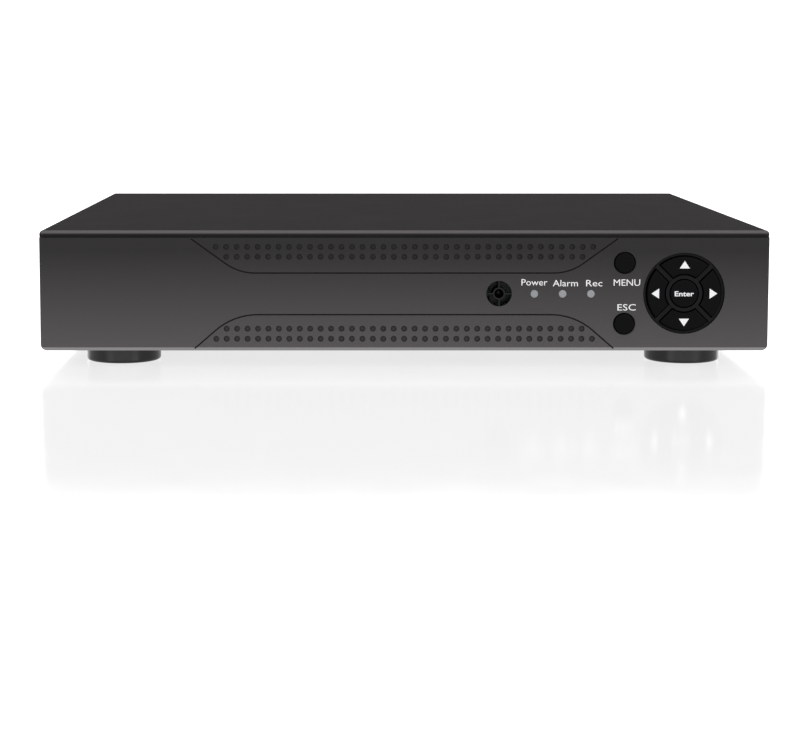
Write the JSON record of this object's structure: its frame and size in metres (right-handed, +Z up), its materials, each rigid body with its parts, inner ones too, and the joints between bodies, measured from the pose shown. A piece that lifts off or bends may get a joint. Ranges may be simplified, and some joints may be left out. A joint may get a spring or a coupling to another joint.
{
  "type": "video recorder",
  "caption": "Desktop surveillance video recorder: flat dark steel case on round feet, key pad and lamps on the front, video, audio, monitor and network sockets on the rear.",
  "frame": {"origin": "under the middle of the whole object, on the resting surface", "axes": "+X to the right seen from the front, +Y towards the rear panel, +Z up; the front with the keys faces -Y"},
  "size_m": [0.25, 0.2274, 0.047],
  "materials": {
    "tray_paint": "satin black powder coat",
    "panel_sheet": "pale zinc plated sheet",
    "cover_paint": "satin dark grey powder coat",
    "bezel_plastic": "fine satin texture",
    "foot_plastic": "satin",
    "plated_screw": "bright nickel",
    "black_screw": "black oxide",
    "key_frame": "dark grey gloss",
    "key_plastic": "black, soft gloss",
    "circuit_board": "green solder mask",
    "switch_body": "black",
    "dark_lens": "dark gloss",
    "lamp_lens": "frosted pale grey",
    "brass_parts": "bright",
    "chip": "moulded black",
    "heat_sink": "black anodised",
    "cell_steel": "bright",
    "capacitor_sleeve": "dark sleeve",
    "socket_plastic": "black",
    "drive_metal": "satin",
    "red_cable": "red jacket",
    "yellow_cable": "yellow jacket",
    "grey_cable": "grey ribbon",
    "nickel": "bright nickel",
    "nickel_cage": "warm nickel plated sheet",
    "white_insulator": "off white",
    "plug_plastic": "black",
    "white_insert": "white",
    "red_insert": "red",
    "blue_insert": "blue",
    "port_lamp": "tinted",
    "green_plastic": "bright green"
  },
  "bodies": {
    "case": {"base_tray": "tray_paint", "rear_panel": "panel_sheet", "top_cover": "cover_paint", "front_bezel": "bezel_plastic", "foot_front_left": "foot_plastic", "foot_front_right": "foot_plastic", "foot_rear_left": "foot_plastic", "foot_rear_right": "foot_plastic", "foot_screws": "plated_screw", "cover_screws": "black_screw", "bezel_screws": "plated_screw", "nav_key_frame": "key_frame", "key_board": "circuit_board", "tact_switches": "switch_body", "ir_receiver": "dark_lens", "indicator_leds": "lamp_lens", "main_board": "circuit_board", "standoffs": "brass_parts", "board_screws": "plated_screw", "processor": "chip", "heat_sink": "heat_sink", "memory_chips": "chip", "cell_holder": "switch_body", "coin_cell": "cell_steel", "capacitors": "capacitor_sleeve", "buzzer": "switch_body", "drive_sockets": "socket_plastic", "hard_disk": "drive_metal", "hard_disk_screws": "plated_screw", "drive_data_cable": "red_cable", "drive_power_cable": "yellow_cable", "ribbon_cable": "grey_cable", "bnc_bodies": "socket_plastic", "bnc_shells": "nickel", "bnc_insulators": "white_insulator", "bnc_contacts": "brass_parts", "blanking_plug": "plug_plastic", "phono_housings": "socket_plastic", "phono_shells": "nickel", "phono_white_inserts": "white_insert", "phono_red_inserts": "red_insert", "rear_panel_screw": "plated_screw", "monitor_socket_shell": "nickel", "monitor_socket_insert": "blue_insert", "jackscrews": "plated_screw", "hd_socket_shell": "nickel", "hd_socket_tongue": "socket_plastic", "network_stack_shield": "nickel_cage", "network_stack_insert": "socket_plastic", "port_lamps": "port_lamp", "serial_socket": "green_plastic", "dc_jack": "socket_plastic", "socket_pins": "brass_parts"},
    "menu_key": {"menu_button": "key_plastic"},
    "esc_key": {"esc_button": "key_plastic"},
    "up_key": {"up_button": "key_plastic"},
    "down_key": {"down_button": "key_plastic"},
    "left_key": {"left_button": "key_plastic"},
    "right_key": {"right_button": "key_plastic"},
    "enter_key": {"enter_button": "key_plastic"}
  },
  "joints": [
    {"name": "menu_press", "type": "slide", "parent": "case", "child": "menu_key", "axis": [0, 1, 0], "range_m": [0, 0.0005], "stiffness_N_per_m": 1200, "springref_m": -0.0004},
    {"name": "esc_press", "type": "slide", "parent": "case", "child": "esc_key", "axis": [0, 1, 0], "range_m": [0, 0.0005], "stiffness_N_per_m": 1200, "springref_m": -0.0004},
    {"name": "up_press", "type": "slide", "parent": "case", "child": "up_key", "axis": [0, 1, 0], "range_m": [0, 0.0005], "stiffness_N_per_m": 1200, "springref_m": -0.0004},
    {"name": "down_press", "type": "slide", "parent": "case", "child": "down_key", "axis": [0, 1, 0], "range_m": [0, 0.0005], "stiffness_N_per_m": 1200, "springref_m": -0.0004},
    {"name": "left_press", "type": "slide", "parent": "case", "child": "left_key", "axis": [0, 1, 0], "range_m": [0, 0.0005], "stiffness_N_per_m": 1200, "springref_m": -0.0004},
    {"name": "right_press", "type": "slide", "parent": "case", "child": "right_key", "axis": [0, 1, 0], "range_m": [0, 0.0005], "stiffness_N_per_m": 1200, "springref_m": -0.0004},
    {"name": "enter_press", "type": "slide", "parent": "case", "child": "enter_key", "axis": [0, 1, 0], "range_m": [0, 0.0005], "stiffness_N_per_m": 1200, "springref_m": -0.0004}
  ]
}
